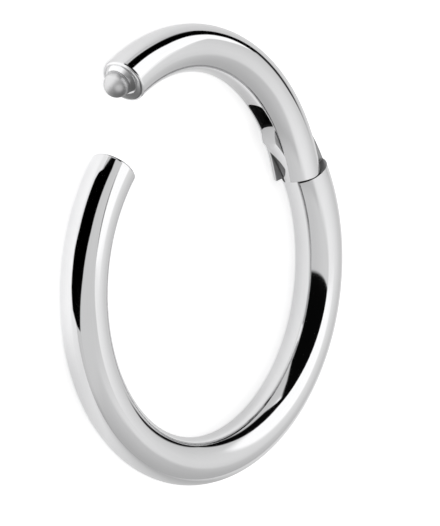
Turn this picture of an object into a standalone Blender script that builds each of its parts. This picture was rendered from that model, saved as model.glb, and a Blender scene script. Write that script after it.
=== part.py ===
"""Hinged segment ring: a round wire ring whose hinged segment swings on a pinned tongue and fork,
and closes with a domed stud that enters a socket in the ring's other end.

Metres, +Z up. The ring lies flat on its side, so its axis is +Z, and the origin is the middle of
the underside of its box. The segment stands open by REST_OPENING. Angles are polar angles about
the ring's centre, which run from the hinge round the segment to the latch.
"""

from math import acos, asin, atan2, ceil, cos, pi, radians, sin

import bmesh
import bpy
from mathutils import Matrix, Vector

MM = 0.001

# Ring and wire
BORE_DIAMETER = 8.0 * MM
WIRE_DIAMETER = 1.2 * MM
EDGE_CHAMFER = 0.08 * MM

# Where the ring body ends, and how far the segment stands open
HINGE_FACE = radians(29.6)
LATCH_FACE = radians(138.4)
REST_OPENING = radians(17.2)
SEAM_GAP = 0.05 * MM

# Hinge: a tongue on the ring body between the two prongs of the segment's fork
PIN_SETBACK = 1.05 * MM
PIN_DIAMETER = 0.40 * MM
RUNNING_CLEARANCE = 0.025 * MM
TONGUE_THICKNESS = 0.38 * MM
TONGUE_REACH = 0.86 * MM
TONGUE_CORNER = 0.50 * MM
CORNER_OVERLAP = 0.02 * MM
SLOT_CLEARANCE = 0.03 * MM
SLOT_RUN = 1.79 * MM
SLOT_DEPTH = 0.78 * MM

# Latch: a stud with a dome on a low collar on the segment, and its socket in the ring body
COLLAR_DIAMETER = 0.80 * MM
COLLAR_HEIGHT = 0.10 * MM
DOME_DIAMETER = 0.62 * MM
DOME_HEIGHT = 0.58 * MM
STUD_STANDOUT = 0.46 * MM
STUD_OFFSET = 0.02 * MM
SOCKET_CLEARANCE = 0.025 * MM

# Facets of the round forms, and the extra wire that is bent before the ends are cut
WIRE_SIDES = 24
PIN_SIDES = 24
DOME_RINGS = 10
ARC_STEP = radians(5.0)
SPARE = radians(3.0)

# Polished steel
STEEL_COLOUR = (0.78, 0.78, 0.79, 1.0)
STEEL_ROUGHNESS = 0.08

# Derived sizes
WIRE_RADIUS = WIRE_DIAMETER / 2
BORE_RADIUS = BORE_DIAMETER / 2
RING_RADIUS = BORE_RADIUS + WIRE_RADIUS
BEYOND = 2 * WIRE_DIAMETER
PIN_ANGLE = HINGE_FACE + asin(PIN_SETBACK / RING_RADIUS)
SLOT_END = PIN_ANGLE + SLOT_RUN / RING_RADIUS
SLOT_WIDTH = TONGUE_THICKNESS + 2 * SLOT_CLEARANCE
PRONG_REACH = PIN_SETBACK - SEAM_GAP
HOLE_DIAMETER = PIN_DIAMETER + 2 * RUNNING_CLEARANCE
STUD_FACE = LATCH_FACE - SEAM_GAP / RING_RADIUS


def polar(radius, angle):
    return Vector((radius * cos(angle), radius * sin(angle), 0.0))


PIN = polar(RING_RADIUS, PIN_ANGLE)


def rest_centre():
    """The ring centre's place in the part: the box of the opened ring sits on the origin."""
    lift = (PIN - polar(RING_RADIUS, PIN_ANGLE - REST_OPENING)).y
    return Vector((0.0, -lift / 2, WIRE_RADIUS))


def clear_scene():
    for old in list(bpy.data.objects):
        bpy.data.objects.remove(old, do_unlink=True)


def new_collection(name):
    made = bpy.data.collections.new(name)
    bpy.context.scene.collection.children.link(made)
    return made


def steel(name):
    material = bpy.data.materials.new(name)
    material.use_nodes = True
    shader = material.node_tree.nodes["Principled BSDF"]
    shader.inputs["Base Color"].default_value = STEEL_COLOUR
    shader.inputs["Roughness"].default_value = STEEL_ROUGHNESS
    shader.inputs["Metallic"].default_value = 1.0
    material.diffuse_color = STEEL_COLOUR
    return material


def pivot(collection, name, place, turn=0.0, parent=None):
    empty = bpy.data.objects.new(name, None)
    empty.location = place
    empty.rotation_euler.z = turn
    empty.parent = parent
    collection.objects.link(empty)
    return empty


def piece(collection, name, mesh, parent, material):
    """A sub-part at its pivot, with its rounds shaded smooth."""
    made = bpy.data.objects.new(name, mesh)
    made.parent = parent
    collection.objects.link(made)
    mesh.materials.append(material)
    mesh.shade_smooth()
    mesh.set_sharp_from_angle(angle=radians(30))
    return made


def helper(collection, name, mesh, parent):
    """A shape that cuts or joins a sub-part, and isn't one itself."""
    made = bpy.data.objects.new(name, mesh)
    made.parent = parent
    made.hide_render = True
    made.display_type = "WIRE"
    collection.objects.link(made)
    return made


def boolean(target, operation, other):
    modifier = target.modifiers.new(f"{operation.lower()}_{other.name}", "BOOLEAN")
    modifier.operation = operation
    modifier.solver = "EXACT"
    modifier.object = other


def mesh_of_curve(curve):
    """The curve's surface as one closed mesh, with its caps welded on."""
    holder = bpy.data.objects.new(curve.name, curve)
    bpy.context.scene.collection.objects.link(holder)
    graph = bpy.context.evaluated_depsgraph_get()
    mesh = bpy.data.meshes.new_from_object(holder.evaluated_get(graph))
    mesh.name = curve.name
    bpy.data.objects.remove(holder, do_unlink=True)
    shape = bmesh.new()
    shape.from_mesh(mesh)
    bmesh.ops.remove_doubles(shape, verts=shape.verts, dist=0.0001 * MM)
    bmesh.ops.recalc_face_normals(shape, faces=shape.faces)
    shape.to_mesh(mesh)
    shape.free()
    return mesh


def arc_wire(name, start, end, origin=Vector()):
    """Round wire bent to the ring's radius between two polar angles, with chamfered ends.
    Its facets stand outside the round, and one of them faces straight down."""
    inset = EDGE_CHAMFER / RING_RADIUS
    steps = ceil((end - start - 2 * inset) / ARC_STEP)
    step = (end - start - 2 * inset) / steps
    angles = [start, *(start + inset + i * step for i in range(steps + 1)), end]
    curve = bpy.data.curves.new(name, "CURVE")
    curve.dimensions = "3D"
    curve.twist_mode = "Z_UP"
    curve.bevel_depth = WIRE_RADIUS / cos(pi / WIRE_SIDES)
    curve.bevel_resolution = WIRE_SIDES // 2 - 2
    curve.use_fill_caps = True
    spline = curve.splines.new("POLY")
    spline.points.add(len(angles) - 1)
    for point, angle in zip(spline.points, angles):
        point.co = (*(polar(RING_RADIUS, angle) - origin), 1.0)
        point.tilt = pi / WIRE_SIDES
    for point in (spline.points[0], spline.points[-1]):
        point.radius = 1 - EDGE_CHAMFER / WIRE_RADIUS
    return mesh_of_curve(curve)


def plate(name, outline, thickness):
    """A flat outline raised by half the thickness to each side of the ring's middle plane."""
    curve = bpy.data.curves.new(name, "CURVE")
    curve.dimensions = "2D"
    curve.fill_mode = "BOTH"
    curve.extrude = thickness / 2
    spline = curve.splines.new("POLY")
    spline.points.add(len(outline) - 1)
    for point, (x, y) in zip(spline.points, outline):
        point.co = (x, y, 0.0, 1.0)
    spline.use_cyclic_u = True
    return mesh_of_curve(curve)


def mesh_of(name, shape):
    mesh = bpy.data.meshes.new(name)
    shape.to_mesh(mesh)
    shape.free()
    return mesh


def box(name, low, high):
    shape = bmesh.new()
    low, high = Vector(low), Vector(high)
    sizes = Matrix.Diagonal((*(high - low), 1.0))
    bmesh.ops.create_cube(shape, size=1.0, matrix=Matrix.Translation((low + high) / 2) @ sizes)
    return mesh_of(name, shape)


def add_rod(shape, diameter, length, matrix=Matrix()):
    """A round bar along its own Z about its middle, whose facets stand outside the diameter."""
    radius = diameter / 2 / cos(pi / PIN_SIDES)
    bmesh.ops.create_cone(
        shape,
        cap_ends=True,
        segments=PIN_SIDES,
        radius1=radius,
        radius2=radius,
        depth=length,
        matrix=matrix,
    )


def add_collar(shape, grown, matrix=Matrix()):
    """The stud's collar, from inside the wire's end out along Y, with its sides grown outward."""
    length = 2 * COLLAR_HEIGHT + grown
    middle = Matrix.Translation((0.0, COLLAR_HEIGHT + grown - length / 2, 0.0))
    along = middle @ Matrix.Rotation(pi / 2, 4, "X")
    add_rod(shape, COLLAR_DIAMETER + 2 * grown, length, matrix @ along)


def add_dome(shape, grown, matrix=Matrix()):
    """The stud's dome, standing along Y from its face, with all its sides grown outward."""
    middle = Matrix.Translation((0.0, STUD_STANDOUT - DOME_HEIGHT / 2, 0.0))
    wide = DOME_DIAMETER / 2 + grown
    sizes = Matrix.Diagonal((wide, DOME_HEIGHT / 2 + grown, wide, 1.0))
    bmesh.ops.create_uvsphere(
        shape,
        u_segments=PIN_SIDES,
        v_segments=DOME_RINGS,
        radius=1.0,
        matrix=matrix @ middle @ sizes @ Matrix.Rotation(-pi / 2, 4, "X"),
    )


def arc_points(radius, start, end):
    steps = ceil(abs(end - start) / (2 * pi / PIN_SIDES))
    turns = [start + (end - start) * i / steps for i in range(steps + 1)]
    return [(radius * cos(turn), radius * sin(turn)) for turn in turns]


# The hinge's outlines are drawn about the pin: X runs outward along the hinge face, and Y away
# from that face, along the wire.


def hinge_end_trim():
    """What the fork's end gives up: a flat along the seam inside the pin, and outside it a round
    about the pin, so that the end rolls clear of the hinge face as the segment opens."""
    outline = [(-BEYOND, -PRONG_REACH), *arc_points(PRONG_REACH, -pi / 2, 0.0)]
    outline += [(BEYOND, 0.0), (BEYOND, -BEYOND), (-BEYOND, -BEYOND)]
    return plate("hinge_end_trim", outline, BEYOND)


def knuckle_slot():
    """The fork's slot round the tongue: open below the pin, and round about it above."""
    rim = arc_points((TONGUE_REACH + SLOT_CLEARANCE) / cos(pi / PIN_SIDES), 0.0, pi)
    outline = [(-BEYOND, -BEYOND), (BEYOND, -BEYOND), (BEYOND, 0.0), *rim, (-BEYOND, 0.0)]
    return plate("knuckle_slot", outline, SLOT_WIDTH)


def tongue_trim():
    """What the wire gives up beyond the tongue's round tip about the pin. Inside, the tongue keeps
    the wire's bore, and a round corner, which runs out past the bore a little, joins the two."""
    turn = PIN_ANGLE - HINGE_FACE
    near = TONGUE_REACH - TONGUE_CORNER
    far = BORE_RADIUS + TONGUE_CORNER - CORNER_OVERLAP
    apart = acos((RING_RADIUS**2 + near**2 - far**2) / (2 * RING_RADIUS * near))
    start = pi + turn - apart
    x, y = near * cos(start), near * sin(start)
    low = pi + atan2(y + RING_RADIUS * sin(turn), x + RING_RADIUS * cos(turn))
    corner = [(x + dx, y + dy) for dx, dy in arc_points(TONGUE_CORNER, low, start)]
    tip = corner[:-1] + arc_points(TONGUE_REACH, start, 0.0)
    outline = [*tip, (BEYOND, 0.0), (BEYOND, BEYOND), (-BEYOND, BEYOND), (-BEYOND, tip[0][1])]
    return plate("tongue_trim", outline, BEYOND)


def tongue_cheek(name, low, high):
    """The wire beside the tongue, from the hinge face on, between two heights."""
    return box(name, (-BEYOND, -PIN_SETBACK, low), (BEYOND, BEYOND, high))


def pin_hole(name):
    shape = bmesh.new()
    add_rod(shape, HOLE_DIAMETER, BEYOND)
    return mesh_of(name, shape)


def slot_run():
    """The pass of the slot's cutter along the bore side, from the pin to the slot's end, which it
    leaves round. X runs outward and Y along the wire at that end, about the ring's centre."""
    cutter = SLOT_WIDTH / 2
    pin_back = -RING_RADIUS * sin(SLOT_END - PIN_ANGLE)
    end = [(y - cutter, z) for y, z in arc_points(cutter, -pi / 2, pi / 2)]
    shape = bmesh.new()
    track = [(pin_back, -cutter), *end, (pin_back, cutter)]
    mouth = shape.faces.new([shape.verts.new((0.0, y, z)) for y, z in track])
    raised = bmesh.ops.extrude_face_region(shape, geom=[mouth])
    floor = [item for item in raised["geom"] if isinstance(item, bmesh.types.BMVert)]
    bmesh.ops.translate(shape, verts=floor, vec=(BORE_RADIUS + SLOT_DEPTH, 0.0, 0.0))
    bmesh.ops.recalc_face_normals(shape, faces=shape.faces)
    return mesh_of("slot_run", shape)


def stud_part(name, add_form):
    shape = bmesh.new()
    add_form(shape, 0.0)
    return mesh_of(name, shape)


def stud_place(origin):
    """Where the stud stands when the ring is closed: X outward and Y along the wire's end."""
    where = polar(RING_RADIUS + STUD_OFFSET, STUD_FACE) - origin
    return Matrix.Translation(where) @ Matrix.Rotation(STUD_FACE, 4, "Z")


def socket(name, add_form):
    """The hollow that a form of the stud sweeps as it swings in about the pin, with clearance."""
    swept = bmesh.new()
    arm = (polar(RING_RADIUS, STUD_FACE) - PIN).length
    swing = 2 * (STUD_STANDOUT + DOME_HEIGHT) / arm
    for share in (0.0, 0.25, 0.5, 1.0):
        turn = Matrix.Rotation(-swing * share, 4, "Z")
        about_pin = Matrix.Translation(PIN) @ turn @ Matrix.Translation(-PIN)
        add_form(swept, SOCKET_CLEARANCE, about_pin @ stud_place(Vector()))
    shape = bmesh.new()
    for vert in swept.verts:
        shape.verts.new(vert.co)
    swept.free()
    hull = bmesh.ops.convex_hull(shape, input=shape.verts)
    inside = [item for item in hull["geom_interior"] if isinstance(item, bmesh.types.BMVert)]
    bmesh.ops.delete(shape, geom=inside, context="VERTS")
    bmesh.ops.recalc_face_normals(shape, faces=shape.faces)
    return mesh_of(name, shape)


def make_ring_body(parts, cutters, centre, material):
    tip = PIN_ANGLE + TONGUE_REACH / RING_RADIUS + SPARE
    mesh = arc_wire("ring_body", LATCH_FACE, 2 * pi + tip)
    body = piece(parts, "ring_body", mesh, centre, material)
    half = TONGUE_THICKNESS / 2
    hinge_cuts = (
        tongue_trim(),
        tongue_cheek("tongue_cheek_upper", half, WIRE_DIAMETER),
        tongue_cheek("tongue_cheek_lower", -WIRE_DIAMETER, -half),
        pin_hole("tongue_hole"),
    )
    for cut in hinge_cuts:
        cutter = helper(cutters, cut.name, cut, centre)
        cutter.matrix_local = Matrix.Translation(PIN) @ Matrix.Rotation(HINGE_FACE, 4, "Z")
        boolean(body, "DIFFERENCE", cutter)
    for hollow in (socket("dome_socket", add_dome), socket("collar_socket", add_collar)):
        boolean(body, "DIFFERENCE", helper(cutters, hollow.name, hollow, centre))


def make_hinged_segment(parts, cutters, hinge, material):
    mesh = arc_wire("hinged_segment", HINGE_FACE - SPARE, STUD_FACE, PIN)
    segment = piece(parts, "hinged_segment", mesh, hinge, material)
    for join in (stud_part("stud_collar", add_collar), stud_part("stud_dome", add_dome)):
        stud = helper(cutters, join.name, join, hinge)
        stud.matrix_local = stud_place(PIN)
        boolean(segment, "UNION", stud)
    pass_along = helper(cutters, "slot_run", slot_run(), hinge)
    pass_along.matrix_local = Matrix.Translation(-PIN) @ Matrix.Rotation(SLOT_END, 4, "Z")
    boolean(segment, "DIFFERENCE", pass_along)
    for cut in (hinge_end_trim(), knuckle_slot(), pin_hole("fork_hole")):
        cutter = helper(cutters, cut.name, cut, hinge)
        cutter.rotation_euler.z = HINGE_FACE
        boolean(segment, "DIFFERENCE", cutter)


def make_hinge_pin(parts, cutters, hinge, material):
    """A plain pin through both prongs and the tongue, dressed flush with the round wire."""
    shape = bmesh.new()
    add_rod(shape, PIN_DIAMETER, BEYOND)
    pin = piece(parts, "hinge_pin", mesh_of("hinge_pin", shape), hinge, material)
    reach = PIN_DIAMETER / RING_RADIUS
    dressing = arc_wire("pin_dressing", PIN_ANGLE - reach, PIN_ANGLE + reach, PIN)
    boolean(pin, "INTERSECT", helper(cutters, "pin_dressing", dressing, hinge))


def main():
    clear_scene()
    parts = new_collection("hinged_segment_ring")
    cutters = new_collection("cutters")
    cutters.hide_render = True
    centre = pivot(parts, "ring_centre", rest_centre())
    hinge = pivot(parts, "segment_hinge", PIN, -REST_OPENING, centre)
    make_ring_body(parts, cutters, centre, steel("ring_body_steel"))
    make_hinged_segment(parts, cutters, hinge, steel("hinged_segment_steel"))
    make_hinge_pin(parts, cutters, hinge, steel("hinge_pin_steel"))


main()
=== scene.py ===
"""Hinged segment ring in polished steel, lying open on a pale floor.

Metres, +Z up, in the frame's own place. Shapes are worked out closed about the ring's centre,
where polar angles run from the hinge round the segment to the latch, and are then put in place.
"""

from math import acos, asin, cos, hypot, pi, radians, sin

import bpy
import numpy as np
from mathutils import Matrix, Vector


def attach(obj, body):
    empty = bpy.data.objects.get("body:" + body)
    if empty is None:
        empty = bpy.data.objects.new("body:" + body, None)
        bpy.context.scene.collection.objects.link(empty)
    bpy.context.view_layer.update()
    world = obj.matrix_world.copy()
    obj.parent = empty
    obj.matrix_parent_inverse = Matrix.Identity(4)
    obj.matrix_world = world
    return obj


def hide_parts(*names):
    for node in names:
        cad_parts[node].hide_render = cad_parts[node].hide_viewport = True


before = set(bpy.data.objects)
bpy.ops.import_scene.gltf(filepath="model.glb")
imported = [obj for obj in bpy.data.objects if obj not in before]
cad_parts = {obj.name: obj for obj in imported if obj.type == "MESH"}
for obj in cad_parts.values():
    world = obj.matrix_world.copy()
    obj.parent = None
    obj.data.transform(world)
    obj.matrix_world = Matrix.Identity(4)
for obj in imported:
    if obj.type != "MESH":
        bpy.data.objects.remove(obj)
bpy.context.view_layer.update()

bl_info = {
    "name": "Hinged Segment Ring",
    "version": (1, 0, 0),
    "blender": (4, 5, 0),
    "location": "View3D > Sidebar > Segment Ring",
    "description": "Builds a polished hinged segment ring and the stage that it lies on",
    "category": "Add Mesh",
}

MM = 0.001

# Cutters reach this far past the wire, and the bent wire this far past an end that they shape.
BEYOND = 2.4 * MM
SPARE = radians(3)

# The sockets' cutters stand this far out of the latch face, and leave this much of its flat's rim.
MOUTH = 0.3 * MM
LIP = 0.005 * MM

ROUND_SIDES = 96
CONE_ROWS = 7
SHARP_EDGE = radians(30)

# Depth of each finish's marks in metres, and the least and most of the base colour that it shows
MARKS = {
    "polished": (0.00000008, 0.985, 1.012),
    # The cut faces' dark base colour is partly their duller machined tone and partly painted shade
    # for the slot and the hinge's cuts.
    "cut": (0.0000012, 0.35, 0.55),
    "turned": (0.0000008, 0.78, 0.86),
}

# Between these distances from the pin, in millimetres, edges go from keen to worn.
KEEN_RIM = (0.235, 0.245)

FLOOR_RADIUS = 0.6
# The bent boards and the stud's bowl are sheets of painted reflection, mirrored only by steel close
# by.
BOARD_RADIUS = 1.8 * MM
BOWL_RADIUS = 0.7 * MM
BOWL_REACH = 0.85 * MM
BOWL_SET_OUT = 0.2 * MM

# The camera aims this far beside and above the ring's centre.
CAMERA_ASIDE = (0.413 * MM, 0.329 * MM)


# Settings


def length(name, description, default):
    return bpy.props.FloatProperty(
        name=name, description=description, default=default, min=0.0, precision=6,
        subtype="DISTANCE", unit="LENGTH",
    )


def angle(name, description, default):
    return bpy.props.FloatProperty(
        name=name, description=description, default=default, subtype="ANGLE", unit="ROTATION"
    )


def share(name, description, default, highest=1.0):
    return bpy.props.FloatProperty(
        name=name, description=description, default=default, min=0.0, max=highest
    )


def colour(name, description, default):
    return bpy.props.FloatVectorProperty(
        name=name, description=description, default=default, min=0.0, max=1.0, size=3,
        subtype="COLOR",
    )


class SegmentRingWire(bpy.types.PropertyGroup):
    bore: length("Bore", "Inner diameter of the closed ring", 8.0 * MM)
    wire: length("Wire", "Diameter of the round wire", 1.2 * MM)
    end_round: length("End rounding", "Radius of the polished edge at a wire end", 0.08 * MM)
    hinge_face: angle("Hinge face", "Polar angle of the ring body's hinge end", radians(29.6))
    latch_face: angle("Latch face", "Polar angle of the ring body's latch end", radians(138.4))
    opening: angle("Opening", "How far the segment stands open", radians(17.2))
    seam: length("Seam", "Gap between the segment and the body when closed", 0.05 * MM)


class SegmentRingHinge(bpy.types.PropertyGroup):
    setback: length("Pin setback", "From the hinge face to the pin's middle", 1.05 * MM)
    pin: length("Pin", "Diameter of the hinge pin", 0.40 * MM)
    fit: length("Pin fit", "Play of the dressed pin in its hole, a side", 0.0002 * MM)
    tongue: length("Tongue thickness", "Thickness of the body's tongue", 0.416 * MM)
    reach: length("Tongue reach", "From the pin's middle to the tongue's round tip", 0.86 * MM)
    corner: length("Tongue corner", "Rounding of the tip's corner at the bore", 0.50 * MM)
    clearance: length("Slot clearance", "Play between the tongue and its slot, a side", 0.012 * MM)
    slot_run: length("Slot run", "Length of the slot past the pin, along the wire", 1.79 * MM)
    slot_depth: length("Slot depth", "Depth of the slot's run from the bore", 0.78 * MM)


class SegmentRingLatch(bpy.types.PropertyGroup):
    collar: length("Collar", "Diameter of the stud's cone-shaped collar", 0.88 * MM)
    collar_height: length("Collar height", "How far the collar stands out", 0.12 * MM)
    collar_foot: length("Collar foot", "Straight part of the collar under its cone", 0.02 * MM)
    collar_top: length("Collar top", "Diameter of the collar's upper rim", 0.71 * MM)
    dome: length("Dome", "Diameter of the stud's dome", 0.65 * MM)
    dome_height: length("Dome height", "Whole height of the dome's oval", 0.62 * MM)
    standout: length("Stand-out", "How far the stud stands out of the wire's end", 0.53 * MM)
    offset: length("Offset", "How far the stud sits outward of the wire's middle", 0.075 * MM)
    socket_play: length("Socket play", "Room round the stud in its socket", 0.025 * MM)


class SegmentRingFinish(bpy.types.PropertyGroup):
    steel: colour("Steel", "Base colour of the polished steel", (0.60, 0.60, 0.605))
    polish: share("Polish", "Roughness of the polished wire", 0.06)
    cut: share("Cut faces", "Roughness of the machined faces", 0.30)
    satin: share("Stud", "Roughness of the turned stud and its end face", 0.42)
    edge: length("Edge wear", "Radius of the light on the worn edges", 0.022 * MM)


class SegmentRingStage(bpy.types.PropertyGroup):
    floor: colour("Floor", "Colour of the floor", (0.92, 0.92, 0.92))
    floor_light: share("Floor light", "Light that falls on the floor", 0.85, 4.0)
    floor_glow: share("Floor glow", "Light that comes through the floor from below", 0.50, 4.0)
    # The board and the bowl are sheets of painted reflection, seen only in the steel close by.
    board: share("Board", "Brightness of the bent board's light part", 0.95, 4.0)
    board_reach: length("Board reach", "How far off the board still shows in steel", 2.3 * MM)
    bowl: share("Bowl", "Brightness of the bowl's light side", 1.7, 4.0)
    sky: share("Studio", "Brightness of the plain studio round the ring", 0.88, 4.0)
    softbox: share("Softbox", "Brightness of the large soft light", 1.65, 4.0)
    yaw: angle("Camera yaw", "Turn of the camera about the ring's upright", radians(50.87))
    pitch: angle("Camera pitch", "Dip of the camera toward the ring", radians(7.45))
    distance: length("Camera distance", "From the ring's centre to the camera", 200.0 * MM)
    lens: share("Lens", "Focal length in millimetres", 553.1, 2000.0)


# Numbers that every piece shares


class Layout:
    """Places and sizes worked out from the settings, about the closed ring's centre."""

    def __init__(self, scene):
        wire, hinge = scene.segment_ring_wire, scene.segment_ring_hinge
        self.wire = wire.wire / 2
        self.ring = wire.bore / 2 + self.wire
        self.bore = wire.bore / 2
        self.hinge_face = wire.hinge_face
        self.latch_face = wire.latch_face
        self.stud_face = wire.latch_face - wire.seam / self.ring
        self.pin_angle = wire.hinge_face + asin(hinge.setback / self.ring)
        self.pin = polar(self.ring, self.pin_angle)
        self.slot_width = hinge.tongue + 2 * hinge.clearance
        self.slot_end = self.pin_angle + hinge.slot_run / self.ring
        self.prong_reach = hinge.setback - wire.seam
        self.rim = self.wire - wire.end_round
        self.opening = wire.opening
        # The opened segment's circle stands this far above the body's circle.
        lift = self.pin[1] - self.ring * sin(self.pin_angle - self.opening)
        self.centre = np.array([0.0, -lift / 2, self.wire])

    def closed(self, points):
        """From about the ring's centre to the ring body's place."""
        return points + self.centre

    def opened(self, points):
        """From closed about the ring's centre to the segment's place at rest."""
        return turned(points, -self.opening, self.pin) + self.centre


# Shapes as arrays of points


def polar(radius, turn):
    """The point (radius cos turn, radius sin turn, 0)."""
    return np.array([radius * cos(turn), radius * sin(turn), 0.0])


def turned(points, turn, about):
    """Points turned about an upright axis: x' = x cos - y sin and y' = x sin + y cos from it."""
    matrix = np.array([[cos(turn), -sin(turn), 0.0], [sin(turn), cos(turn), 0.0], [0.0, 0.0, 1.0]])
    return (points - about) @ matrix.T + about


def bent_rounds(ring, turns, radii, sides, along=0.0, outward=0.0):
    """Round sections along a bent wire. Section k stands square to the circle of radius ring at
    the polar angle turns[k], moved along[k] on its tangent. Side j leaves its middle at the angle
    a = 2 pi j / sides: outward by outward[k] + radii[k] cos a, and up by radii[k] sin a."""
    a = 2 * pi * np.arange(sides) / sides
    turns, along, outward = (
        np.broadcast_to(each, np.shape(radii))[:, None] for each in (turns, along, outward)
    )
    out = ring + outward + np.asarray(radii)[:, None] * np.cos(a)
    up = np.asarray(radii)[:, None] * np.sin(a)
    x = out * np.cos(turns) - along * np.sin(turns)
    y = out * np.sin(turns) + along * np.cos(turns)
    return np.stack([x, y, up], axis=-1)


def skin(rows, materials=None):
    """(points, faces, material of each face) of a surface whose rows each run round once. The
    first and the last row are poles, where all the points are one, and every face looks outward."""
    count, sides = rows.shape[:2]
    ring_rows = rows[1:-1]
    points = np.concatenate([ring_rows.reshape(-1, 3), rows[0, :1], rows[-1, :1]])
    index = np.arange((count - 2) * sides).reshape(-1, sides)
    beside = np.roll(index, -1, axis=1)
    quads = np.stack([index[:-1], index[1:], beside[1:], beside[:-1]], axis=-1).reshape(-1, 4)
    first, last = np.full(sides, len(points) - 2), np.full(sides, len(points) - 1)
    start = np.stack([first, index[0], beside[0]], axis=-1)
    end = np.stack([last, beside[-1], index[-1]], axis=-1)
    faces = start.tolist() + quads.tolist() + end.tolist()
    if materials is None:
        materials = np.zeros(count - 1, int)
    return points, faces, np.repeat(materials, sides)


def rounded_end(wire, rounding, steps):
    """(distance from the end, radius) of a wire's rounded end edge: the distance is
    rounding (1 - cos t) and the radius is wire - rounding (1 - sin t), for t from 0 to 90 degrees."""
    t = np.linspace(0.0, pi / 2, steps + 1)
    return rounding * (1 - np.cos(t)), wire - rounding * (1 - np.sin(t))


def stud_profile(latch, steps):
    """(distance out of the end face, radius) of the stud, from the face to its top. The collar
    rises straight to its foot's height and then as a cone to its upper rim. A small step in leads
    to the dome, whose oval is radius = dome sqrt(1 - ((s - m) / half)^2), with its middle m half
    its height below the top."""
    half = latch.dome_height / 2
    middle = latch.standout - half
    t = np.linspace(asin((latch.collar_height - middle) / half), pi / 2, steps + 1)
    dome = middle + half * np.sin(t), latch.dome / 2 * np.cos(t)
    dome[1][-1] = 0.0
    cone = np.linspace(0.0, 1.0, CONE_ROWS)
    reach = (latch.collar * (1 - cone) + latch.collar_top * cone) / 2
    height = latch.collar_foot * (1 - cone) + latch.collar_height * cone
    return np.concatenate([[0.0], height, dome[0]]), np.concatenate([reach[:1], reach, dome[1]])


def arc(radius, start, end, steps):
    """Points (radius cos t, radius sin t) for t from start to end."""
    t = np.linspace(start, end, steps + 1)
    return np.stack([radius * np.cos(t), radius * np.sin(t)], axis=-1)


def prism(outline, low, high):
    """(points, faces) of a closed outline, (x, y) pairs run anticlockwise, raised from z = low to
    z = high."""
    count = len(outline)
    levels = [np.column_stack([outline, np.full(count, z)]) for z in (low, high)]
    index = np.arange(count)
    beside = np.roll(index, -1)
    sides = np.stack([index, beside, beside + count, index + count], axis=-1)
    caps = [index[::-1].tolist(), (index + count).tolist()]
    return np.concatenate(levels), sides.tolist() + caps


def anticlockwise(outline):
    """The outline run so that its signed area, half the sum of x dy - y dx, is positive."""
    x, y = outline[:, 0], outline[:, 1]
    area = np.sum(x * np.roll(y, -1) - y * np.roll(x, -1))
    return outline if area > 0 else outline[::-1]


# The hinge's outlines run X outward along the hinge face and Y away from it, about the pin.


def end_trim_outline(layout):
    """A flat along the seam inside the pin, and outside it a round about the pin of that reach."""
    reach = layout.prong_reach
    corners = [(BEYOND, -BEYOND), (-BEYOND, -BEYOND), (-BEYOND, -reach)]
    return np.concatenate([corners, arc(reach, -pi / 2, 0.0, 40), [(BEYOND, 0.0)]])


def knuckle_outline(reach):
    """Open below the pin, and a half round of this reach about it above."""
    low = [(-BEYOND, 0.0), (-BEYOND, -BEYOND), (BEYOND, -BEYOND), (BEYOND, 0.0)]
    return np.concatenate([low, arc(reach, 0.0, pi, 64)])


def tongue_trim_outline(layout, reach, corner):
    """All beyond the tongue's round tip, of this reach about the pin. Inside, the tongue keeps the
    wire's bore, and the round corner between the two is corner + bore from the ring's centre and
    reach - corner from the pin. The angle at the pin between these comes from the cosine rule."""
    near, far = reach - corner, layout.bore + corner
    apart = acos((layout.ring**2 + near**2 - far**2) / (2 * layout.ring * near))
    start = pi + layout.pin_angle - layout.hinge_face - apart
    middle = near * np.array([cos(start), sin(start)])
    inward = middle + layout.ring * polar(1.0, layout.pin_angle - layout.hinge_face)[:2]
    low = pi + np.arctan2(inward[1], inward[0])
    tip = np.concatenate([middle + arc(corner, low, start, 20)[:-1], arc(reach, start, 0.0, 64)])
    rest = [(BEYOND, 0.0), (BEYOND, BEYOND), (-BEYOND, BEYOND), (-BEYOND, tip[0, 1])]
    return np.concatenate([tip, rest])


def about_pin(points, layout):
    """From the hinge's outline axes into the ring's."""
    return turned(points, layout.hinge_face, np.zeros(3)) + layout.pin


def rod(radius, half, sides):
    """(points, faces) of a round bar along Z about the origin."""
    return prism(arc(radius, 0.0, 2 * pi, sides)[:-1], -half, half)


def latch_slant(layout):
    """How far the swinging stud goes outward for each step out of the latch face."""
    arm = polar(layout.ring, layout.stud_face) - layout.pin
    travel = np.array([arm[1], -arm[0]])
    out = np.array([cos(layout.latch_face), sin(layout.latch_face)])
    return abs(travel @ out) / abs(travel @ np.array([out[1], -out[0]]))


def hollow_rows(layout, latch, depth, outer, inner, half_up, sides):
    """An oval hollow below the latch face. At each depth its section reaches from inner to outer,
    both measured outward from the stud's axis, and half_up above and below: outward
    (outer + inner) / 2 + (outer - inner) / 2 cos a, and up half_up sin a. The outer side stops
    short of the rim of the end's flat."""
    outer = np.minimum(outer, layout.rim - latch.offset - LIP)
    middle, half_out = (outer + inner) / 2, (outer - inner) / 2
    a = 2 * pi * np.arange(sides) / sides
    r = layout.ring + latch.offset + middle[:, None] + half_out[:, None] * np.cos(a)
    up = half_up[:, None] * np.sin(a)
    turn = layout.latch_face
    x = r * cos(turn) - depth[:, None] * sin(turn)
    y = r * sin(turn) + depth[:, None] * cos(turn)
    rows = np.stack([x, y, up], axis=-1)
    caps = [np.broadcast_to(row.mean(axis=0), row.shape)[None] for row in (rows[0], rows[-1])]
    return np.concatenate([caps[0], rows, caps[1]])[::-1]


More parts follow.
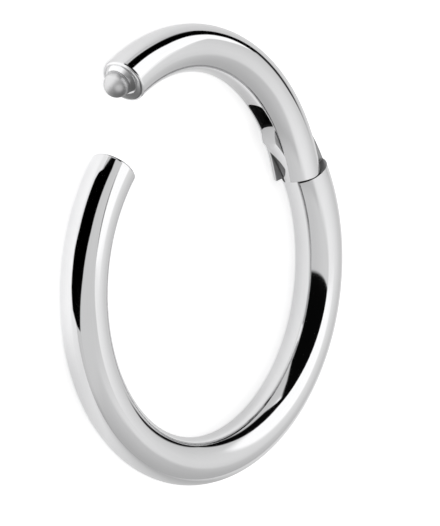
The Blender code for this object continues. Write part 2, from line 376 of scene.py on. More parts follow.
def dome_socket_rows(layout, latch, sides):
    """What the swung dome sweeps, inside the rim. With x the depth less the closed dome's, W and H
    the dome's half width and half height with play, and s the slant: the inner side is at
    -W sqrt(1 - (x/H)^2), or -W above the closed dome's middle, and the outer side is at
    -s x + sqrt(W^2 + (s H)^2) while that leads, and then at W sqrt(1 - (x/H)^2)."""
    half = latch.dome_height / 2
    deep = latch.standout - half - layout.ring * (layout.latch_face - layout.stud_face)
    wide, tall = latch.dome / 2 + latch.socket_play, half + latch.socket_play
    slant = latch_slant(layout)
    bowl = deep + tall * np.cos(np.linspace(0.05, pi / 2, 25))
    depth = np.concatenate([bowl, np.linspace(deep, -MOUTH, 24)[1:]])
    x = depth - deep
    oval = wide * np.sqrt(np.clip(1 - (np.clip(x, 0.0, None) / tall) ** 2, 0.0, 1.0))
    reach = hypot(wide, slant * tall)
    outer = np.where(x < slant * tall * tall / reach, reach - slant * x, oval)
    return hollow_rows(layout, latch, depth, outer, -oval, oval, sides)


def collar_socket_rows(layout, latch, sides):
    """The countersink for the collar: a cone that widens to the face, whose outer side leans by
    the slant for the swing."""
    gap = layout.ring * (layout.latch_face - layout.stud_face)
    floor = latch.collar_height - gap + latch.socket_play
    depth = np.linspace(floor, -MOUTH, 40)
    risen = np.clip(1 - depth / floor, 0.0, 1.0)
    wide = (latch.collar_top * (1 - risen) + latch.collar * risen) / 2 + latch.socket_play
    outer = wide + latch_slant(layout) * (floor - depth)
    return hollow_rows(layout, latch, depth, outer, -wide, wide, sides)


# Meshes and objects


def mesh_from(name, points, faces, materials, chosen=None):
    """A mesh from whole arrays; chosen gives each face's material."""
    mesh = bpy.data.meshes.new(name)
    mesh.from_pydata(points.tolist(), [], faces)
    for material in materials:
        mesh.materials.append(material)
    if chosen is not None:
        mesh.polygons.foreach_set("material_index", np.asarray(chosen, np.int32))
    mesh.update()
    mesh.shade_smooth()
    return mesh


def placed(name, mesh):
    made = bpy.data.objects.new(name, mesh)
    bpy.context.scene.collection.objects.link(made)
    return made


def read(items, field, width=1, kind=np.float32):
    """One field of all the items, with a row for each if it is wider than one number."""
    values = np.empty(len(items) * width, kind)
    items.foreach_get(field, values)
    return values.reshape(-1, width) if width > 1 else values


def evaluated(solid):
    """The solid's mesh with its modifiers worked in, which then leave it."""
    graph = bpy.context.evaluated_depsgraph_get()
    mesh = bpy.data.meshes.new_from_object(solid.evaluated_get(graph), depsgraph=graph)
    solid.modifiers.clear()
    return mesh


def shaped(name, mesh, cuts):
    """The mesh after each cut is taken from it, with soft shading that stops at its edges and
    weighs each face by its area."""
    solid = placed(name, mesh)
    cutters = [placed(f"{name}_{i}", cut) for i, cut in enumerate(cuts)]
    for cutter in cutters:
        modifier = solid.modifiers.new(cutter.name, "BOOLEAN")
        modifier.operation = "DIFFERENCE"
        modifier.solver = "EXACT"
        modifier.material_mode = "TRANSFER"
        modifier.object = cutter
    cut_mesh = evaluated(solid)
    for cutter in cutters:
        bpy.data.meshes.remove(cutter.data)
    if not cut_mesh.polygons:
        raise RuntimeError(f"{name}: its cuts left no surface")
    cut_mesh.shade_smooth()
    cut_mesh.set_sharp_from_angle(angle=SHARP_EDGE)
    solid.data = cut_mesh
    bpy.data.meshes.remove(mesh)
    weigh = solid.modifiers.new("area weight", "WEIGHTED_NORMAL")
    weigh.keep_sharp = True
    solid.data = evaluated(solid)
    bpy.data.meshes.remove(cut_mesh)
    solid.data.name = name
    return solid


def true_wire_normals(mesh, centre, layout):
    """Gives the faces on the wire its exact normals, (p - q) / |p - q|, with q the nearest point of
    the centreline circle about centre, so that the flats of the grid don't show in a reflection."""
    points = read(mesh.vertices, "co", 3).astype(float) - centre
    flat = np.hypot(points[:, 0], points[:, 1])
    axis = points * [1.0, 1.0, 0.0] * (layout.ring / flat)[:, None]
    away = points - axis
    depth = np.linalg.norm(away, axis=1)
    on_wire = np.abs(depth - layout.wire) < 1e-6
    exact = away / depth[:, None]
    corners = read(mesh.loops, "vertex_index", kind=np.int32)
    totals = read(mesh.polygons, "loop_total", kind=np.int32)
    facing = np.repeat(read(mesh.polygons, "normal", 3), totals, axis=0)
    close = on_wire[corners] & (np.sum(facing * exact[corners], axis=1) > 0.97)
    owner = np.repeat(np.arange(len(totals)), totals)
    all_close = np.bincount(owner, weights=close, minlength=len(totals)) == totals
    chosen = all_close[owner]
    normals = read(mesh.corner_normals, "vector", 3)
    normals[chosen] = exact[corners[chosen]]
    mesh.normals_split_custom_set(normals.tolist())


def finished(solid, layout, place, body, node):
    """Puts the piece in its place, where it rides on its body and stands for its node."""
    points = place(read(solid.data.vertices, "co", 3).astype(float))
    solid.data.vertices.foreach_set("co", points.astype(np.float32).ravel())
    solid.data.update()
    true_wire_normals(solid.data, place(np.zeros(3)), layout)
    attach(solid, body)
    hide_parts(node)


# Materials


class Value:
    """A shader's number. The operators of Python sums each add one Math node."""

    def __init__(self, shader, socket):
        self.shader, self.socket = shader, socket

    def __add__(self, other):
        return self.shader.math("ADD", self, other)

    def __sub__(self, other):
        return self.shader.math("SUBTRACT", self, other)

    def __mul__(self, other):
        return self.shader.math("MULTIPLY", self, other)

    def __truediv__(self, other):
        return self.shader.math("DIVIDE", self, other)

    def __rsub__(self, other):
        return self.shader.math("SUBTRACT", other, self)

    __radd__ = __add__
    __rmul__ = __mul__


class Shader:
    """One node tree, built by a call for each node."""

    def __init__(self, tree):
        self.tree = tree
        tree.nodes.clear()

    def node(self, kind, settings=None, values=None, out=0):
        """Adds a node of this type. Its settings go in first, then the values and links of its
        sockets, and one of its outputs comes back."""
        made = self.tree.nodes.new(kind)
        for name, setting in (settings or {}).items():
            if name == "stops":
                self.fill(made.color_ramp, setting)
            else:
                setattr(made, name, setting)
        for name, value in (values or {}).items():
            if isinstance(value, Value):
                self.tree.links.new(value.socket, made.inputs[name])
            else:
                made.inputs[name].default_value = value
        return Value(self, made.outputs[out]) if made.outputs else None

    def fill(self, ramp, stops):
        ramp.interpolation = "LINEAR"
        while len(ramp.elements) < len(stops):
            ramp.elements.new(1.0)
        for element, (place, height) in zip(ramp.elements, stops):
            element.position = place
            element.color = (height, height, height, 1.0)

    def math(self, operation, *values):
        return self.node("ShaderNodeMath", {"operation": operation}, dict(enumerate(values)))

    def hypotenuse(self, x, y):
        """sqrt(x^2 + y^2)"""
        return self.math("SQRT", x * x + y * y)

    def split(self, vector):
        return [self.node("ShaderNodeSeparateXYZ", None, {0: vector}, out=i) for i in range(3)]

    def join(self, x, y, z):
        return self.node("ShaderNodeCombineXYZ", None, {0: x, 1: y, 2: z})

    def noise(self, vector, scale, detail=3.0, rough=0.5):
        values = {"Vector": vector, "Scale": scale, "Detail": detail, "Roughness": rough}
        return self.node("ShaderNodeTexNoise", None, values)

    def ramp(self, value, points, across=(0, 1), between=(0, 1)):
        """Straight lines through (place, height) points, with the places inside across and the
        heights inside between. The value and the result run from 0 to 1 over these."""
        stops = [
            (
                (place - across[0]) / (across[1] - across[0]),
                (height - between[0]) / (between[1] - between[0]),
            )
            for place, height in points
        ]
        return self.node("ShaderNodeValToRGB", {"stops": stops}, {0: value})

    def smooth(self, value, low, high):
        """0 below low and 1 above high, eased between."""
        settings = {"interpolation_type": "SMOOTHSTEP"}
        values = {"Value": value, "From Min": low, "From Max": high}
        return self.node("ShaderNodeMapRange", settings, values)

    def band(self, value, rise, fall):
        """0, then 1 past rise, and 0 again past fall, with each a (low, high) pair."""
        return self.smooth(value, *rise) * (1 - self.smooth(value, *fall))

    def mix(self, factor, first, second):
        """Between two colours."""
        settings = {"data_type": "RGBA"}
        return self.node("ShaderNodeMix", settings, {0: factor, 6: first, 7: second}, out=2)

    def mix_vector(self, factor, first, second):
        settings = {"data_type": "VECTOR"}
        return self.node("ShaderNodeMix", settings, {0: factor, 4: first, 5: second}, out=1)


BLACK = (0.0, 0.0, 0.0, 1.0)


def new_material(name):
    """(material, the shader of its nodes)"""
    material = bpy.data.materials.new(name)
    material.use_nodes = True
    return material, Shader(material.node_tree)


def wire_places(shader, centre, start):
    """The unbent wire's own axes in millimetres: along it, out from its middle and up. The place
    along is the polar angle from start times the ring's radius."""
    settings = {"vector_type": "POINT"}
    coordinates = shader.node("ShaderNodeTexCoord", out="Object")
    turn = {"Location": [-1000 * part for part in centre], "Scale": (1000.0, 1000.0, 1000.0)}
    x, y, z = shader.split(
        shader.node("ShaderNodeMapping", settings, {"Vector": coordinates, **turn})
    )
    x_start = x * cos(start) + y * sin(start)
    y_start = y * cos(start) - x * sin(start)
    around = shader.math("ARCTAN2", y_start, x_start)
    return around, shader.hypotenuse(x, y), z, shader.join(x, y, z)


def steel(name, scene, layout, centre, start, kind):
    """Steel in one of three finishes. Polished wire has faint lines along the wire, fine scratches
    across it and soft clouds of polish. Cut faces have close tool lines, and a darker base colour
    that is partly their duller tone and partly painted shade. Turned faces have fine rings about
    the stud."""
    finish = scene.segment_ring_finish
    material, shader = new_material(name)
    material.diffuse_color = (*finish.steel, 1.0)
    around, out, up, place = wire_places(shader, centre, start)
    along = around * (1000 * layout.ring)
    clouds = shader.noise(place, 0.9, 3.0, 0.55)
    depth, dark, light = MARKS[kind]
    if kind == "polished":
        lines = shader.noise(shader.join(along * 0.35, out * 26.0, up * 26.0), 1.0, 4.0, 0.6)
        crossing = shader.noise(shader.join(along * 9.0, out * 1.3, up * 1.3), 1.0, 5.0, 0.7)
        scratches = shader.smooth(crossing, 0.66, 0.70)
        fine = shader.noise(place, 60.0, 2.0, 0.5)
        rough = finish.polish * 0.75 + clouds * (0.35 * finish.polish)
        rough = rough + lines * (0.15 * finish.polish) + scratches * 0.01
        height = lines * 0.6 + fine * 0.15 - scratches * 0.25
        shade = clouds * 0.5 + lines * 0.5
    elif kind == "cut":
        tool = shader.noise(shader.join(along * 1.2, out * 14.0, up * 60.0), 1.0, 4.0, 0.65)
        grain = shader.noise(place, 45.0, 4.0, 0.6)
        rough = finish.cut * 0.8 + tool * (0.25 * finish.cut) + grain * (0.2 * finish.cut)
        height = tool * 0.7 + grain * 0.5
        shade = tool * 0.6 + grain * 0.4
    else:
        middle = 1000 * (layout.ring + scene.segment_ring_latch.offset)
        radius = shader.hypotenuse(out - middle, up)
        rings = shader.noise(shader.join(radius * 34.0, along * 2.0, 0.0), 1.0, 3.0, 0.6)
        grain = shader.noise(place, 30.0, 4.0, 0.6)
        rough = finish.satin * 0.8 + rings * (0.25 * finish.satin) + grain * (0.15 * finish.satin)
        height = rings * 0.6 + grain * 0.3
        shade = rings * 0.5 + clouds * 0.5
    base_colour = shader.mix(
        shader.smooth(shade, 0.3, 0.7),
        (*(part * dark for part in finish.steel), 1.0),
        (*(part * light for part in finish.steel), 1.0),
    )
    # The dressed pin's rim stays keen, so only the light on the other edges is widened.
    pin = 1000 * (layout.centre + layout.pin - centre)
    x, y, _ = shader.split(place)
    from_pin = shader.hypotenuse(x - float(pin[0]), y - float(pin[1]))
    keen = 1 - shader.smooth(from_pin, *KEEN_RIM)
    edges = shader.node("ShaderNodeBevel", {"samples": 6}, {"Radius": finish.edge})
    plain = shader.node("ShaderNodeNewGeometry", out="Normal")
    normal = shader.mix_vector(keen, edges, plain)
    bump = {"Strength": 1.0, "Distance": depth, "Height": height, "Normal": normal}
    surface = {
        "Base Color": base_colour,
        "Metallic": 1.0,
        "Roughness": rough,
        "Normal": shader.node("ShaderNodeBump", None, bump),
    }
    principled = shader.node("ShaderNodeBsdfPrincipled", None, surface)
    shader.node("ShaderNodeOutputMaterial", None, {"Surface": principled})
    return material


def finishes(name, scene, layout, centre, start):
    """The three finishes of a wire piece, in the order polished, cut and turned."""
    return [
        steel(f"{name}_{kind}_steel", scene, layout, centre, start, kind) for kind in MARKS
    ]


# Operators


def cuts_about_pin(shapes, layout, material):
    """A cutter of this finish from each (points, faces) in the hinge's outline axes."""
    return [
        mesh_from("cut", about_pin(points, layout), faces, [material]) for points, faces in shapes
    ]


class AddRingBody(bpy.types.Operator):
    """Adds the C-shaped wire, with the hinge's tongue and the latch's socket at its ends"""

    bl_idname = "mesh.segment_ring_body"
    bl_label = "Ring Body"

    def execute(self, context):
        scene = context.scene
        layout = Layout(scene)
        hinge, latch = scene.segment_ring_hinge, scene.segment_ring_latch
        steels = finishes("body", scene, layout, layout.centre, radians(264))
        s, r = rounded_end(layout.wire, scene.segment_ring_wire.end_round, 10)
        tip = 2 * pi + layout.pin_angle + hinge.reach / layout.ring + SPARE
        turns = np.linspace(layout.latch_face + s[-1] / layout.ring, tip, 190)
        face = np.linspace(0.0, r[0], 5)[1:-1]
        flat = np.full(len(face) + 1, layout.latch_face)
        turn = np.concatenate([flat, layout.latch_face + s / layout.ring, turns[1:], [tip]])
        radii = np.concatenate([[0.0], face, r, np.full(len(turns) - 1, layout.wire), [0.0]])
        chosen = np.zeros(len(radii) - 1, int)
        chosen[: len(flat)] = 2
        rows = bent_rounds(layout.ring, turn, radii, ROUND_SIDES)
        points, faces, picked = skin(rows, chosen)
        mesh = mesh_from("ring_body_polished", points, faces, steels, picked)
        half = hinge.tongue / 2
        trim = tongue_trim_outline(layout, hinge.reach, hinge.corner)
        base = -hinge.setback
        cheek = [(-BEYOND, base), (BEYOND, base), (BEYOND, BEYOND), (-BEYOND, BEYOND)]
        shapes = [
            prism(cheek, half, BEYOND),
            prism(cheek, -BEYOND, -half),
            rod(hinge.pin / 2 + hinge.fit, BEYOND, ROUND_SIDES),
        ]
        tip_cut = prism(anticlockwise(trim), -BEYOND, BEYOND)
        cuts = cuts_about_pin([tip_cut], layout, steels[0])
        cuts += cuts_about_pin(shapes, layout, steels[1])
        for socket_rows in (dome_socket_rows, collar_socket_rows):
            points, faces, _ = skin(socket_rows(layout, latch, 72))
            cuts.append(mesh_from("cut", points, faces, steels[2:]))
        solid = shaped("ring_body_polished", mesh, cuts)
        finished(solid, layout, layout.closed, "ring", "ring_body")
        return {"FINISHED"}


class AddSegment(bpy.types.Operator):
    """Adds the hinged segment, with the fork and the domed stud at its ends"""

    bl_idname = "mesh.segment_ring_segment"
    bl_label = "Hinged Segment"

    def execute(self, context):
        scene = context.scene
        layout = Layout(scene)
        hinge, latch = scene.segment_ring_hinge, scene.segment_ring_latch
        centre = layout.opened(np.zeros(3))
        steels = finishes("segment", scene, layout, centre, layout.stud_face / 2)
        low = layout.hinge_face - SPARE
        s, r = rounded_end(layout.wire, scene.segment_ring_wire.end_round, 10)
        s, r = s[::-1], r[::-1]
        turns = np.linspace(low, layout.stud_face - s[0] / layout.ring, 84)
        out, stud = stud_profile(latch, 28)
        face = np.linspace(r[-1], stud[0], 6)[1:-1]
        turn = np.concatenate([[low], turns, layout.stud_face - s[1:] / layout.ring])
        turn = np.concatenate([turn, np.full(len(face) + len(out), layout.stud_face)])
        radii = np.concatenate([[0.0], np.full(len(turns), layout.wire), r[1:], face, stud])
        foot = len(radii) - len(out)
        flat = foot - len(face)
        along = np.concatenate([np.zeros(foot), out])
        # The flat's rows move outward step by step to the stud's place, and its cone is polished.
        outward = np.zeros(len(radii))
        outward[flat:] = latch.offset
        outward[flat:foot] *= np.linspace(0.0, 1.0, len(face) + 2)[1:-1]
        rows = bent_rounds(layout.ring, turn, radii, ROUND_SIDES, along, outward)
        chosen = np.zeros(len(radii) - 1, int)
        chosen[flat - 1:] = 2
        chosen[foot:foot + CONE_ROWS] = 0
        points, faces, picked = skin(rows, chosen)
        mesh = mesh_from("hinged_segment_polished", points, faces, steels, picked)
        half = layout.slot_width / 2
        depth = layout.bore + hinge.slot_depth
        back = -layout.ring * sin(layout.slot_end - layout.pin_angle)
        end = arc(half, -pi / 2, pi / 2, 32) - [half, 0.0]
        track = np.concatenate([[(back, -half)], end, [(back, half)]])
        points, faces = prism(track, 0.0, depth)
        points = turned(points[:, [2, 0, 1]], layout.slot_end, np.zeros(3))
        cuts = [mesh_from("cut", points, faces, steels[1:2])]
        knuckle = knuckle_outline(hinge.reach + hinge.clearance)
        shapes = [
            prism(anticlockwise(end_trim_outline(layout)), -BEYOND, BEYOND),
            prism(anticlockwise(knuckle), -half, half),
            rod(hinge.pin / 2 + hinge.fit, BEYOND, ROUND_SIDES),
        ]
        cuts += cuts_about_pin(shapes, layout, steels[1])
        solid = shaped("hinged_segment_polished", mesh, cuts)
        finished(solid, layout, layout.opened, "segment", "hinged_segment")
        return {"FINISHED"}


class AddPin(bpy.types.Operator):
    """Adds the plain hinge pin, dressed flush with the round wire"""

    bl_idname = "mesh.segment_ring_pin"
    bl_label = "Hinge Pin"

    def execute(self, context):
        scene = context.scene
        layout = Layout(scene)
        radius = scene.segment_ring_hinge.pin / 2
        centre = layout.opened(np.zeros(3))
        finish = steel("pin_polished_steel", scene, layout, centre, 1.0, "polished")
        # Each end is the wire's own surface over the pin: up = sqrt(wire^2 - (reach - ring)^2).
        spread = radius * np.sin(np.linspace(0.0, pi / 2, 14))
        a = 2 * pi * np.arange(ROUND_SIDES) / ROUND_SIDES
        x = layout.pin[0] + spread[:, None] * np.cos(a)
        y = layout.pin[1] + spread[:, None] * np.sin(a)
        up = np.sqrt(layout.wire**2 - (np.hypot(x, y) - layout.ring) ** 2)
        top = np.stack([x, y, up], axis=-1)
        rows = np.concatenate([top * [1.0, 1.0, -1.0], top[::-1]])
        points, faces, _ = skin(rows[:, ::-1])
        mesh = mesh_from("hinge_pin_polished", points, faces, [finish])
        solid = shaped("hinge_pin_polished", mesh, [])
        finished(solid, layout, layout.opened, "segment", "hinge_pin")
        return {"FINISHED"}


class AddStage(bpy.types.Operator):
    """Adds the pale floor, the soft studio light and the camera"""

    bl_idname = "mesh.segment_ring_stage"
    bl_label = "Stage"

    def execute(self, context):
        scene = context.scene
        layout, stage = Layout(scene), scene.segment_ring_stage
        self.add_floor(layout, stage)
        self.add_studio(scene, stage)
        self.add_arm_painted_reflection(layout, stage)
        self.add_segment_painted_reflection(layout, stage)
        self.add_stud_painted_reflection(scene, layout, stage)
        self.add_camera(scene, layout, stage)
        return {"FINISHED"}

    def add_floor(self, layout, stage):
        """A round: points (r cos t, r sin t, 0). Only glossy rays see its painted shade, which
        changes round the ring, and a painted highlight band; the camera sees it plain. Their places
        are degrees round the ring."""
        material, shader = new_material("floor_paper")
        place = shader.node("ShaderNodeTexCoord", out="Object")
        fibre = shader.noise(place, 900.0, 3.0, 0.5)
        x, y, _ = shader.split(place)
        y = y - float(layout.centre[1])
        around = shader.math("ARCTAN2", 0 - y, 0 - x) / (2 * pi) + 0.5
        off = shader.hypotenuse(x, y)
        # Painted shade: how light the floor looks when mirrored in the steel, outside and inside the
        # ring.
        beyond = shader.ramp(around, [
            (0, 0.76), (20, 0.72), (40, 0.70), (60, 0.71), (80, 0.76), (100, 0.90), (120, 1.0),
            (190, 1.0), (210, 0.90), (230, 0.92), (250, 0.74), (270, 0.58), (288, 0.50),
            (305, 0.70), (330, 0.80), (360, 0.76),
        ], (0, 360))
        within = shader.ramp(around, [
            (0, 0.97), (25, 0.95), (45, 0.78), (60, 0.72), (80, 0.77), (100, 0.95), (180, 0.90),
            (210, 0.80), (240, 0.76), (270, 0.71), (290, 0.78), (305, 0.86), (320, 1.0),
            (340, 1.0), (360, 0.97),
        ], (0, 360))
        outside = shader.smooth(off, layout.ring - 0.4 * MM, layout.ring + 0.6 * MM)
        shade = within + outside * (beyond - within)
        # Painted highlight: a brighter band mirrored in the steel outside the ring.
        painted_highlight_band = shader.band(around, (118 / 360, 142 / 360), (182 / 360, 206 / 360)) * outside
        painted_highlight_band = painted_highlight_band * (1 - shader.smooth(off, 6.2 * MM, 7.4 * MM))
        # Only glossy rays see the painted shade and highlight; the camera sees the floor plain.
        in_steel = shader.node("ShaderNodeLightPath", out="Is Glossy Ray")
        shade = 1 - in_steel * (1 - shade)
        low = (*(0.985 * part for part in stage.floor), 1.0)
        paper = shader.mix(fibre, low, (*stage.floor, 1.0))
        values = {
            "Base Color": shader.mix(shade, BLACK, paper),
            "Roughness": 1.0,
            "Specular IOR Level": 0.0,
            "Emission Color": shade + in_steel * painted_highlight_band * 0.5,
            "Emission Strength": stage.floor_glow,
        }
        principled = shader.node("ShaderNodeBsdfPrincipled", None, values)
        shader.node("ShaderNodeOutputMaterial", None, {"Surface": principled})
        rim = arc(FLOOR_RADIUS, 0.0, 2 * pi, ROUND_SIDES)[:-1]
        points = np.column_stack([rim, np.zeros(len(rim))])
        mesh = mesh_from("floor", points, [list(range(len(rim)))], [material])
        placed("floor", mesh)

    def add_studio(self, scene, stage):
        """The studio by direction, as seen in the steel: plain and light, with a large softbox to
        one side and a dark flag whose black edge sweeps across the other. Each edge is a line
        through (azimuth, elevation) points in degrees."""
        world = bpy.data.worlds.new("studio")
        scene.world = world
        world.use_nodes = True
        shader = Shader(world.node_tree)
        x, y, z = shader.split(shader.node("ShaderNodeTexCoord", out="Generated"))
        turn = shader.math("ARCTAN2", 0 - x, y) / (2 * pi) + 0.5
        height = shader.math("ARCSINE", z) * (180 / pi)

        def at(*azimuths):
            return [(azimuth + 90) / 360 for azimuth in azimuths]

        def edge(*points):
            return shader.ramp(turn, points, (-90, 270), (-40, 100)) * 140 - 40

        low = edge((0, 13), (14, 2), (28, -6), (45, 2), (60, 8), (75, 13), (81, 17), (87, 37),
                   (106, 23), (122, 4), (180, 2))
        high = edge((-4, 10), (3, 19), (15, 11), (28, 6), (45, 18), (60, 31), (75, 42), (86, 60),
                    (94, 88))
        black = shader.smooth(height - low, -3.0, 2.0) * shader.smooth(high - height, -3.0, 2.0)
        black = black * shader.band(turn, at(-4, 4), at(179.5, 182.5))
        rise = shader.ramp(turn, [(-90, 1.0), (85, 1.0), (100, 0.3), (230, 0.3), (268, 1.0)],
                           (-90, 270))
        bottom = edge((-20, 62), (0, 50), (15, 42), (30, 30), (45, 25), (85, 25))
        lit = shader.band(turn, at(-25, 5), at(86, 93))
        lit = lit * shader.smooth(height - bottom, -2.0, 10.0)
        bright = stage.sky + rise * shader.smooth(height, 0.0, 85.0) * (0.55 * stage.sky)
        border = edge((-90, 55), (-60, 50), (-30, 36), (-10, 25), (228, 58), (270, 55))
        dim = shader.smooth(turn, *at(228, 250)) + (1 - shader.smooth(turn, *at(-45, -5)))
        dim = dim * (1 - shader.smooth(height - border, -6.0, 4.0))
        bright = bright * (1 - 0.24 * dim)
        bright = bright * (1 - lit) + lit * stage.softbox
        bright = bright * (1 - black) + black * 0.003
        from_camera = shader.node("ShaderNodeLightPath", out="Is Camera Ray")
        from_floor = shader.node("ShaderNodeLightPath", out="Is Diffuse Ray")
        bright = bright * (1 - from_floor) + from_floor * stage.floor_light
        bright = bright * (1 - from_camera) + from_camera * 0.96
        lamp = shader.node("ShaderNodeBackground", None, {"Color": bright, "Strength": 1.0})
        shader.node("ShaderNodeOutputWorld", None, {"Surface": lamp})
        scene.view_settings.view_transform = "Standard"

    def add_painted_reflection(self, name, points, places, reach, paint):
        """A thin glowing sheet of painted reflection that only steel close by mirrors, and only on
        the side of its faces' backs, from a grid of points. Each point's place on it is kept for
        paint, which gives how much it covers and how bright it is."""
        index = np.arange(points.shape[0] * points.shape[1]).reshape(points.shape[:2])
        faces = [index[:-1, :-1], index[1:, :-1], index[1:, 1:], index[:-1, 1:]]
        faces = np.stack(faces, axis=-1).reshape(-1, 4)
        material, shader = new_material(name)
        material.cycles.emission_sampling = "NONE"
        mesh = mesh_from(name, points.reshape(-1, 3), faces.tolist(), [material])
        layer = mesh.uv_layers.new(name="place")
        corners = places.reshape(-1, 2)[faces.ravel()]
        layer.data.foreach_set("uv", corners.astype(np.float32).ravel())
        u, v, _ = shader.split(shader.node("ShaderNodeUVMap", {"uv_map": "place"}))
        cover, light = paint(shader, u, v)
        # Painted reflection: only rays from steel within reach see the sheet, and it glows for them.
        away = shader.node("ShaderNodeLightPath", out="Ray Length")
        far = shader.smooth(away, reach, 1.1 * reach)
        behind = shader.node("ShaderNodeNewGeometry", out="Backfacing")
        values = {
            "Base Color": BLACK,
            "Roughness": 1.0,
            "Specular IOR Level": 0.0,
            "Emission Color": light,
            "Emission Strength": 1.0,
        }
        lamp = shader.node("ShaderNodeBsdfPrincipled", None, values)
        clear = shader.node("ShaderNodeBsdfTransparent")
        shown = {0: cover * behind * (1 - far), 1: clear, 2: lamp}
        mixed = shader.node("ShaderNodeMixShader", None, shown)
        shader.node("ShaderNodeOutputMaterial", None, {"Surface": mixed})
        sheet = placed(name, mesh)
        sheet.visible_camera = False
        sheet.visible_diffuse = False
        sheet.visible_shadow = False

    def add_painted_reflection_board(self, name, layout, place, reach, ends, edges, fade, brightness):
        """A sheet of painted reflection bent round the wire, black between its low and high edges and
        light from there to its top. At the polar angle p and the angle q about the wire it stands at
        ring + r cos q along p and r sin q up, with r its radius. Edges are (p, q) pairs."""
        first, last = ends
        p, q = np.meshgrid(np.linspace(first, last, 121), np.linspace(-16, 96, 75), indexing="ij")
        turn, rise = np.radians(p), np.radians(q)
        out, up = layout.ring + BOARD_RADIUS * np.cos(rise), BOARD_RADIUS * np.sin(rise)
        points = np.stack([out * np.cos(turn), out * np.sin(turn), up], axis=-1)
        points = place(points.reshape(-1, 3)).reshape(points.shape)

        def at(turn):
            return (turn - first) / (last - first)

        def paint(shader, along, rise):
            low, high, top = (shader.ramp(along, edge, ends, (-20, 100)) for edge in edges)
            soft = 1.5 / 120
            black = shader.smooth(high - rise, -soft, soft) * shader.smooth(rise - low, -soft, soft)
            light = shader.smooth(rise - high, -soft, soft) * shader.smooth(top - rise, -soft, soft)
            begun = shader.smooth(along, at(first + 2), at(first + 3))
            light = light * begun * (1 - shader.smooth(along, at(fade[0]), at(fade[1])))
            both = black * begun + light
            cover = shader.math("MINIMUM", both, 1.0)
            return cover, light / shader.math("MAXIMUM", cover, 0.001) * brightness

        places = np.stack([at(p), (q + 20) / 120], axis=-1)
        self.add_painted_reflection(name, points, places, reach, paint)

    def add_arm_painted_reflection(self, layout, stage):
        """The sheet of painted reflection beside the latch arm."""
        low = [(134.5, 43), (137, 30), (140.5, -1), (143, -5), (160, -6), (166, -10), (178, -10),
               (185, -5), (190, 8), (192.5, 22)]
        high = [(134.5, 38), (138, 42), (160, 42), (175, 35), (192.5, 20), (240, 14)]
        top = [(134, 66), (165, 80), (190, 88)]
        self.add_painted_reflection_board("arm_painted_reflection", layout, layout.closed, stage.board_reach, (130, 250),
                            (low, high, top), (192, 245), stage.board)

    def add_segment_painted_reflection(self, layout, stage):
        """The sheet of painted reflection beside the opened segment."""
        low = [(70, 22), (80, 19), (90, 19), (100, 21), (110, 21), (128, 18)]
        high = [(70, 33), (80, 30), (90, 31), (100, 35), (110, 42), (128, 44)]
        top = [(70, 34), (80, 44), (90, 48), (96, 60), (102, 72), (112, 80), (120, 88), (128, 92)]
        self.add_painted_reflection_board("segment_painted_reflection", layout, layout.opened, stage.board_reach, (66, 134),
                            (low, high, top), (140, 141), stage.softbox)

    def add_stud_painted_reflection(self, scene, layout, stage):
        """A bowl of painted reflection before the stud, light on one side and dark on the other, with
        a painted highlight for the collar. It is part of a sphere about the dome: at the angle b from
        the stud's axis and a around it, a point is axis cos b + (out cos a + up sin a) sin b times
        the radius."""
        latch = scene.segment_ring_latch
        b, a = np.meshgrid(np.radians(np.linspace(1, 100, 50)), np.linspace(2 * pi, 0, 73),
                           indexing="ij")
        turn = layout.stud_face
        ahead = np.array([-sin(turn), cos(turn), 0.0])
        out, up = np.array([cos(turn), sin(turn), 0.0]), np.array([0.0, 0.0, 1.0])
        around = np.cos(a)[..., None] * out + np.sin(a)[..., None] * up
        facing = np.cos(b)[..., None] * ahead + np.sin(b)[..., None] * around
        middle = (layout.ring + latch.offset) * out + BOWL_SET_OUT * ahead
        points = layout.opened((middle + BOWL_RADIUS * facing).reshape(-1, 3))
        painted_lit_side = 0.75 * out - 0.66 * up
        tilt, bearing = radians(50), 1.6
        painted_highlight_direction = cos(tilt) * ahead + sin(tilt) * (cos(bearing) * out + sin(bearing) * up)

        def paint(shader, toward, near_painted_highlight_direction):
            # Painted light and shade: lighter toward the painted lit side, with a painted highlight
            # for the collar.
            light = shader.ramp(toward, [
                (0.0, 0.10), (0.25, 0.16), (0.5, 0.32), (0.62, 0.62), (0.72, 0.92), (1.0, 1.0),
            ])
            return 1.0, (light + 0.4 * shader.smooth(near_painted_highlight_direction, 0.84, 0.97)) * stage.bowl

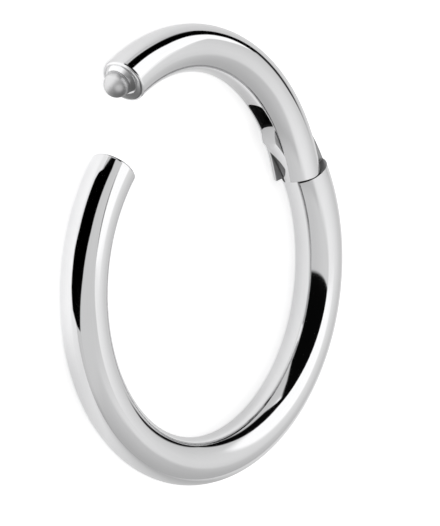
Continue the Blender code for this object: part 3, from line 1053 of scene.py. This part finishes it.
        places = np.stack([facing @ painted_lit_side / 2 + 0.5, facing @ painted_highlight_direction], axis=-1)
        self.add_painted_reflection("stud_painted_reflection", points.reshape(facing.shape), places, BOWL_REACH, paint)

    def add_camera(self, scene, layout, stage):
        lens = bpy.data.cameras.new("camera")
        lens.lens = stage.lens
        lens.clip_start = 0.01
        lens.clip_end = 10.0
        turn = Matrix.Rotation(-stage.yaw, 4, "Y") @ Matrix.Rotation(-stage.pitch, 4, "X")
        aside = Vector((*CAMERA_ASIDE, stage.distance))
        camera = bpy.data.objects.new("camera", lens)
        camera.matrix_world = Matrix.Translation(Vector(layout.centre) + turn @ aside) @ turn
        scene.collection.objects.link(camera)
        scene.camera = camera


class SegmentRingPanel(bpy.types.Panel):
    """Settings and pieces of the hinged segment ring"""

    bl_idname = "VIEW3D_PT_segment_ring"
    bl_label = "Segment Ring"
    bl_space_type = "VIEW_3D"
    bl_region_type = "UI"
    bl_category = "Segment Ring"

    def draw(self, context):
        for group in GROUPS:
            settings = getattr(context.scene, group)
            for name in settings.bl_rna.properties.keys():
                if name not in ("rna_type", "name"):
                    self.layout.prop(settings, name)
        for operator in OPERATORS:
            self.layout.operator(operator.bl_idname)


GROUPS = {
    "segment_ring_wire": SegmentRingWire,
    "segment_ring_hinge": SegmentRingHinge,
    "segment_ring_latch": SegmentRingLatch,
    "segment_ring_finish": SegmentRingFinish,
    "segment_ring_stage": SegmentRingStage,
}
OPERATORS = (AddStage, AddRingBody, AddSegment, AddPin)
CLASSES = (*GROUPS.values(), *OPERATORS, SegmentRingPanel)


def register():
    for each in CLASSES:
        bpy.utils.register_class(each)
    for name, group in GROUPS.items():
        setattr(bpy.types.Scene, name, bpy.props.PointerProperty(type=group))


def unregister():
    for name in GROUPS:
        delattr(bpy.types.Scene, name)
    for each in reversed(CLASSES):
        bpy.utils.unregister_class(each)


def main():
    register()
    bpy.ops.mesh.segment_ring_stage()
    bpy.ops.mesh.segment_ring_body()
    bpy.ops.mesh.segment_ring_segment()
    bpy.ops.mesh.segment_ring_pin()


if __name__ == "__main__":
    main()
